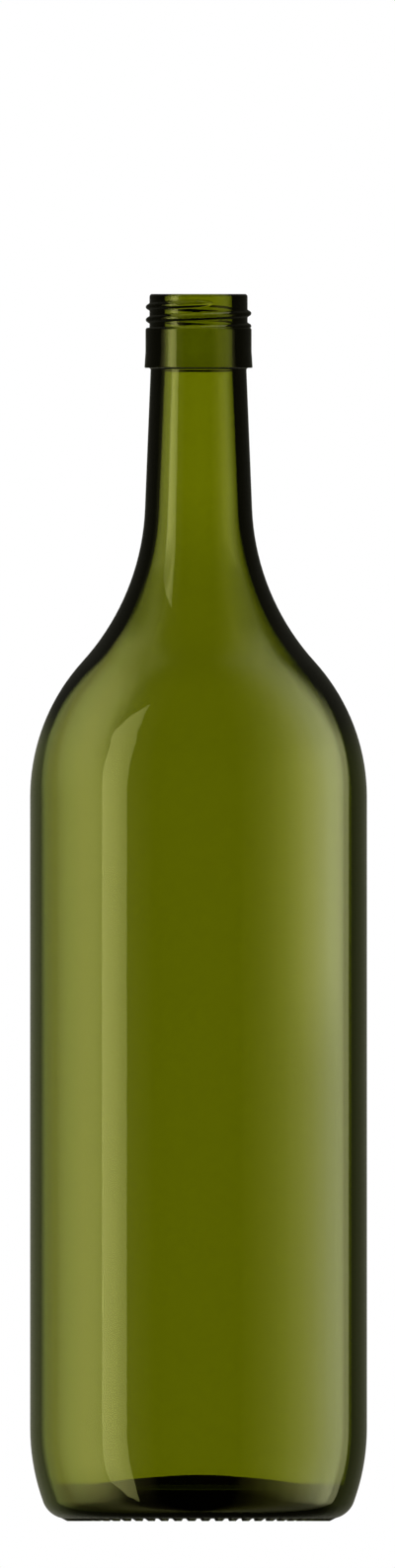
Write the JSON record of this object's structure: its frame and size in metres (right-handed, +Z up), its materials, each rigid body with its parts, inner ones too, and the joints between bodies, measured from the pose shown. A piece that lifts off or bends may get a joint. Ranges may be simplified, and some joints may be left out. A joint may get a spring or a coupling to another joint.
{
  "type": "wine bottle",
  "caption": "Empty one-litre bordeaux wine bottle in clear olive glass, with a screw-thread mouth, a collar, high shoulders and a knurled foot.",
  "frame": {"origin": "on the bottle's axis, in the plane that the knurled foot stands on", "axes": "+Z up along the bottle's axis to the mouth; the bottle is round, and +X and -Y only place the thread, whose upper end lies 74 degrees round from +X towards -Y"},
  "size_m": [0.0852, 0.0852, 0.3103],
  "materials": {
    "glass": "clear olive-green glass, polished"
  },
  "bodies": {
    "root": {"bottle": "glass"}
  },
  "joints": []
}
